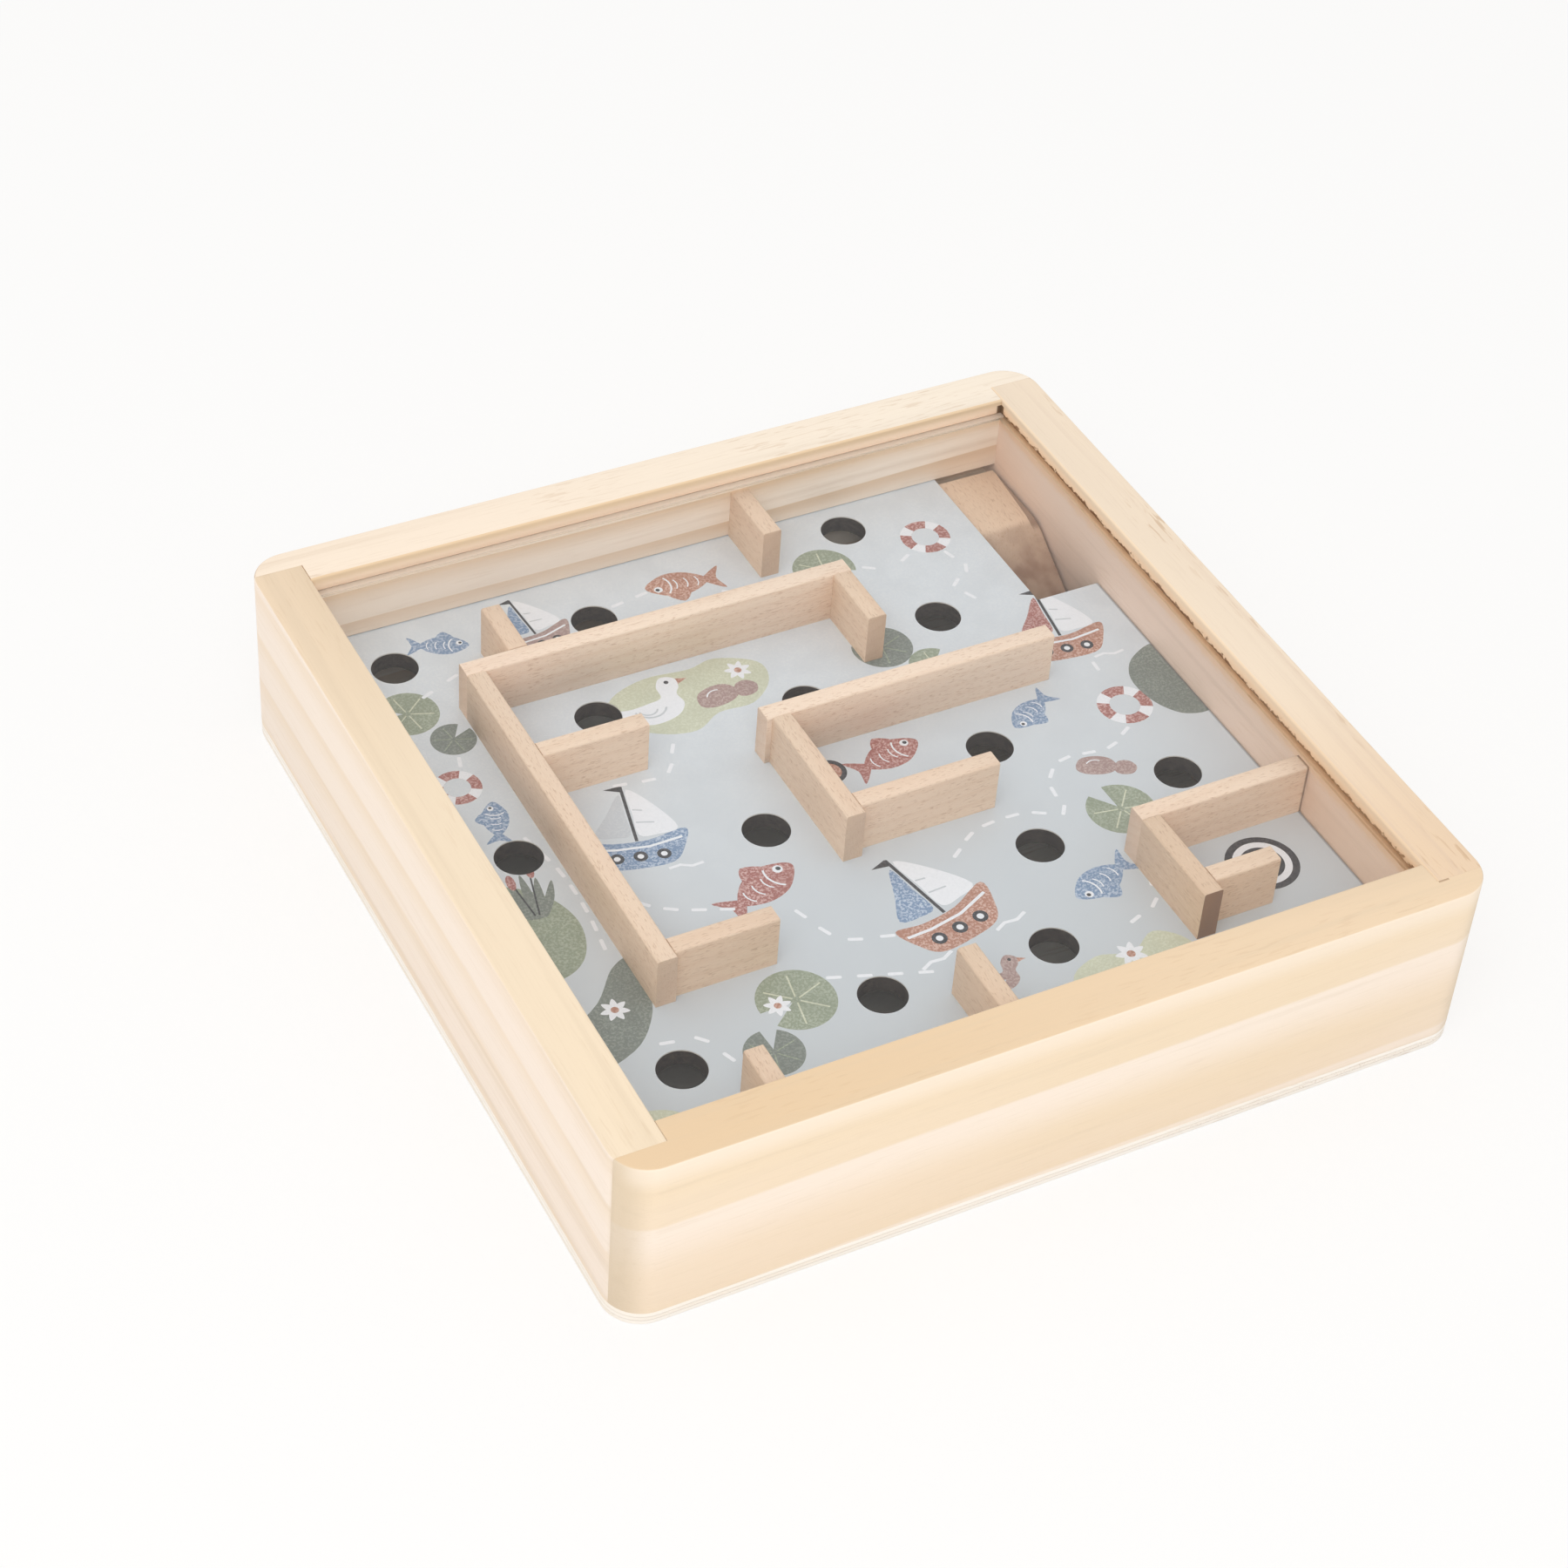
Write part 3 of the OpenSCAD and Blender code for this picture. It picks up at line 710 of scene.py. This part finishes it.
inks = {
    "pond": ink("ink_pond", (218, 225, 232), (230, 235, 239), 0.5, 0.3, (201, 208, 214)),
    "white": ink("ink_white", (240, 243, 249), (228, 232, 238), 0.4),
    "terracotta": ink("ink_terracotta", (182, 132, 113), (226, 196, 184), 0.8, 0.4),
    "rust": ink("ink_rust", (168, 108, 102), (222, 190, 186), 0.8, 0.4),
    "blue": ink("ink_blue", (126, 151, 185), (204, 216, 231), 0.85, 0.4),
    "sage": ink("ink_sage", (150, 160, 140), (184, 192, 176), 0.75, 0.4),
    "deep_green": ink("ink_deep_green", (126, 134, 128), (156, 162, 156), 0.75, 0.4),
    "olive": ink("ink_olive", (205, 209, 186), (222, 226, 208), 0.7, 0.3),
    "mauve": ink("ink_mauve", (170, 144, 140), (204, 186, 182), 0.8, 0.4),
    "grey": ink("ink_grey", (200, 206, 213), (216, 220, 224), 0.5, 0.2),
    "charcoal": ink("ink_charcoal", (56, 57, 62), (96, 96, 102), 0.6),
    "paper": ink("paper_edge", (232, 232, 228), (222, 220, 214), 0.4),
}
dash_maker = course_lines.modifiers.new("dashes", "NODES")
dash_maker.node_group = dashes
for name, value in (("Dash length", course_length), ("Gap", course_gap), ("Dash width", course_width),
                    ("Ink", inks["white"])):
    dash_maker[sockets[name].identifier] = value
evaluated = course_lines.evaluated_get(bpy.context.evaluated_depsgraph_get())
dash_mesh = bpy.data.meshes.new_from_object(evaluated)
for face in dash_mesh.polygons:
    draw("white", [tuple(dash_mesh.vertices[i].co.xy) for i in face.vertices])
bpy.data.objects.remove(course_lines)

# The holes are set out by the squares of a grid, with forty squares from rail to rail.
notch_x, notch_y = inside - 11.6, inside - 34.8
square, hole_radius = 2 * inside / 40, 3.75
holes = [(-16.9, 16.8), (-6, 16.3), (9.5, 18), (10.7, 9.6), (-9, 9.3), (1.2, 6.3), (8.1, -0.5),
         (15.9, -5.9), (-5, -1.5), (-16.8, 1.5), (6.8, -7.8), (3.9, -14.1), (-5.1, -13.7), (-15.7, -14.2)]
outlines = [[(-sheet_side, -tongue), (sheet_side, -tongue), (sheet_side, notch_y), (notch_x, notch_y),
             (notch_x, tongue), (-sheet_side, tongue)]]
outlines += [disc(x * square, y * square, hole_radius, steps=56) for x, y in holes]
outlines += [outline for _, outline in drawn]
corners, faces = [], []
for outline in outlines:
    faces.append(list(range(len(corners), len(corners) + len(outline))))
    corners += [Vector(p) for p in outline]
# The outlines cut each other into triangles, and each triangle knows the outlines it lies in by
# number: 0 is the sheet, then come the holes, and then the drawn ones, of which the last shows.
inside_only, snap = 1, 1e-5
cut_points, _, cut_faces, _, _, cut_owners = delaunay_2d_cdt(corners, [], faces, inside_only, snap, True)
names = list(inks)
triangles, tones = [], []
for corner_ids, owners in zip(cut_faces, cut_owners):
    if 0 not in owners or any(1 <= owner <= len(holes) for owner in owners):
        continue
    last = max(owners)
    triangles.append(tuple(corner_ids))
    tones.append(names.index(drawn[last - 1 - len(holes)][0] if last else "pond"))
used = sorted({i for triangle in triangles for i in triangle})
order = {old: new for new, old in enumerate(used)}
flat = [cut_points[i] for i in used]
count = len(flat)
triangles = [tuple(order[i] for i in triangle) for triangle in triangles]
# An edge that no second triangle shares lies on the sheet's rim, where its thickness shows.
rim = {}
for triangle in triangles:
    for a, b in zip(triangle, triangle[1:] + triangle[:1]):
        if (b, a) in rim:
            del rim[b, a]
        else:
            rim[a, b] = True
sheet_mesh = bpy.data.meshes.new("pond_print")
sheet_mesh.from_pydata(
    [(p.x / 1000, p.y / 1000, level / 1000) for level in (sheet_top, sheet_low) for p in flat], [],
    triangles + [tuple(i + count for i in reversed(triangle)) for triangle in triangles]
    + [(b, a, a + count, b + count) for a, b in rim])
for name in names:
    sheet_mesh.materials.append(inks[name])
paper = names.index("paper")
for face, tone in zip(sheet_mesh.polygons, tones + [paper] * (len(triangles) + len(rim))):
    face.material_index = tone
pond_print = in_scene("pond_print", sheet_mesh)
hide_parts("printed_sheet")
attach(pond_print, "case")


# Maze walls.
# Fifteen strips of beech, 3.2 mm thick and 9 mm high, cut square and glued on the print, with butt
# joints where they meet. Beech is pinkish, with short brown flecks along the grain and darker ends.
def beech(name, turned, shift, tone=1.0, rings=1.0, ends=0.25):
    """Beech cut along X, or along Y when turned. The shift picks another part of the plank."""
    material, tree, shader, here = start_material(name)
    run, year = 1 if turned else 0, 0.0021
    place = add(tree, "Mapping", {"Vector": here, "Location": (shift, 0.31 * shift, 0.02 + 0.07 * shift),
                                  "Rotation": (0, 0.03, -math.pi / 2 * run + 0.02)}).outputs[0]
    _, y, z = parts(tree, wandering(tree, place, (22, 90, 60), 2.0, 0.004))
    years = calc(tree, "DIVIDE", calc(tree, "MULTIPLY_ADD", y, 0.55, z), year)
    ring = year_ring(tree, years, (0.45, 0.92), (0.94, 1.0))
    deep = (tone, tone ** 1.4, tone ** 1.9)
    light, middle, dark = ([c * d for c, d in zip(own, deep)]
                           for own in ((243, 219, 196), (240, 212, 189), (228, 196, 168)))
    wood = tinted(tree, seen_as(*light), ring, 0.3 * rings, dark)
    cloud = step_up(tree, grain(tree, place, (30, 160, 160)), 0.4, 0.7)
    wood = tinted(tree, wood, cloud, 0.5, middle)
    fleck = grain(tree, place, (900, 5200, 5200))
    wood = tinted(tree, wood, step_up(tree, fleck, 0.57, 0.68), 0.45, [c * tone for c in (190, 150, 118)])
    glint = grain(tree, place, (380, 3000, 3000), 1.0)
    wood = tinted(tree, wood, step_up(tree, glint, 0.62, 0.76), 0.3, (250, 230, 208))
    end_face = step_up(tree, calc(tree, "ABSOLUTE", parts(tree, outwards(tree))[run]), 0.6, 0.95)
    coat(tree, shader, tinted(tree, wood, end_face, ends, [c * tone for c in (164, 130, 108)]))
    polish(tree, shader, fleck, 0.5, 0.66, 0.3, 0.7)
    relief(tree, shader, calc(tree, "SUBTRACT", glint, fleck), 0.00004, 0.8)
    shader.inputs["Specular IOR Level"].default_value = 0.3
    return material


# Whether a wall runs along Y, its part of the plank, its tone, and how strong its year rings are. A
# fifth number darkens its sawn ends: the finish side wall's are darkened fully, partly for its end grain
# and partly as painted shade.
planks = {
    "back_stub_wall": (True, 0.11, 0.97, 0.6), "upper_stub_wall": (True, 0.27, 0.97, 0.7),
    "upper_long_wall": (False, 0.43, 1.03, 1.2), "upper_hook_wall": (True, 0.62, 0.97, 0.9),
    "left_long_wall": (True, 0.81, 0.99, 0.6), "left_branch_wall": (False, 1.03, 1.0, 0.8),
    "left_foot_wall": (False, 1.24, 0.98, 0.9), "middle_long_wall": (False, 1.47, 1.03, 0.9),
    "middle_leg_wall": (True, 1.66, 0.98, 0.6), "middle_foot_wall": (False, 1.88, 1.0, 1.1),
    "finish_back_wall": (False, 2.07, 1.01, 1.0), "finish_side_wall": (True, 2.31, 0.94, 0.7, 1.0),
    "finish_hook_wall": (False, 2.55, 0.98, 0.8), "front_middle_stub_wall": (True, 2.78, 0.96, 0.6),
    "front_left_stub_wall": (True, 2.96, 0.97, 0.7),
}
for node, plank in planks.items():
    dress(node, beech("beech_" + node, *plank), 0.0001)

# The finish wall ends a hair short of the right rail, and the shade in the gap between is painted on
# its end as a dark line.
tree, shader, wood = repaint(bpy.data.materials["beech_finish_back_wall"])
wall_gap_shade = step_up(tree, parts(tree, spot(tree))[0], inner_face - 0.0005, inner_face - 0.0002)
coat(tree, shader, tinted(tree, wood, wall_gap_shade, 0.7, (104, 76, 58)))


# Return ramp.
# A block of beech under the notch, with a short level landing that rolls over into the slope.
# It is glued on the base panel, and its slope is painted darker from the bend down, with a mottle in
# it, as painted shade.
bend_levels, slope_levels = (0.01737, 0.0169), (0.0172, 0.0126)
wedge_back, wedge_front, wedge_wide, wedge_side = 0.060, 0.046, 0.0012, inner_face - 0.0006
ramp_beech = beech("beech_ramp", True, 3.3, 0.96, 0.3)
tree, shader, wood = repaint(ramp_beech)
place = spot(tree)
x, y, z = parts(tree, place)
over_bend, down_slope = (step_up(tree, z, *levels) for levels in (bend_levels, slope_levels))
# The slope's darkening, mottled, is painted shade.
slope_shade_mottle = step_up(tree, grain(tree, place, (240, 240, 240), 2.0, 0.55), 0.38, 0.64)
slope_shade = calc(tree, "MULTIPLY_ADD", over_bend, 0.48, times(tree, down_slope, 0.36))
slope_shade = calc(tree, "MULTIPLY", slope_shade, calc(tree, "MULTIPLY_ADD", slope_shade_mottle, 0.3, 0.85), clamp=True)
wood = mixed(tree, slope_shade, wood, seen_as(150, 117, 97))
# Along its side by the rail, a dark wedge that widens down to the bend is painted shade of the narrow
# space between ramp and rail.
wedge_shade_width = carried(tree, y, wedge_back, wedge_front, 0.0, wedge_wide)
wedge_shade = times(tree, calc(tree, "GREATER_THAN", x, calc(tree, "SUBTRACT", wedge_side, wedge_shade_width)),
               step_up(tree, y, wedge_front - 0.0016, wedge_front + 0.0002))
coat(tree, shader, tinted(tree, wood, wedge_shade, 0.7, (130, 98, 80)))
dress("return_ramp", ramp_beech, 0.00015)


# Clear cover.
# A sheet of acrylic, 1.4 mm thick, slid into grooves in all four rails before the last is glued.
# It mirrors the room faintly, with hairline scratches, and dust lies along its back edge.
dust_strip = (0.0603, 0.0609)
acrylic = bpy.data.materials.new("clear_acrylic")
tree = emptied(acrylic)
place = spot(tree)
hairs = grain(tree, place, (90, 3400, 100), 2.0, 0.6)
smears = grain(tree, place, (40, 60, 60))
through = add(tree, "BsdfTransparent", {"Color": (0.99, 0.992, 0.992, 1)})
scratched = carried(tree, hairs, 0.3, 0.8, 0.03, 0.1)
mirror = add(tree, "BsdfGlossy", {"Color": (1, 1, 1, 1), "Roughness": scratched})
skin = add(tree, "Fresnel", {"IOR": 1.42}).outputs[0]
front_face = rest_of(tree, add(tree, "NewGeometry").outputs["Backfacing"])
share = times(tree, calc(tree, "MULTIPLY_ADD", smears, 0.02, skin), front_face)
clear = add(tree, "MixShader", {0: share, 1: through.outputs[0], 2: mirror.outputs[0]})
dust = add(tree, "BsdfDiffuse", {"Color": seen_as(238, 220, 204)})
at_back = times(tree, step_up(tree, parts(tree, place)[1], *dust_strip), front_face)
at_back = times(tree, at_back, step_up(tree, parts(tree, outwards(tree))[2], 0.5, 0.9))
dusty = add(tree, "MixShader", {0: times(tree, at_back, 0.6), 1: clear.outputs[0], 2: dust.outputs[0]})
add(tree, "OutputMaterial", {"Surface": dusty.outputs[0]})
dress("clear_cover", acrylic, 0)


# Ball.
# A 6 mm bearing ball of polished steel, loose on the lower floor in the lane that leads to the ramp.
# Rolling has dulled it in fine streaks.
steel, tree, shader, place = start_material("polished_steel")
streaks = grain(tree, place, (2600, 700, 2600), 3.0, 0.6)
coat(tree, shader, mixed(tree, streaks, seen_as(214, 216, 219), seen_as(228, 229, 231)))
polish(tree, shader, streaks, 0.04, 0.16)
shader.inputs["Metallic"].default_value = 1.0
relief(tree, shader, streaks, 0.000002, 0.4)
dress("steel_ball", steel, 0).data.shade_smooth()
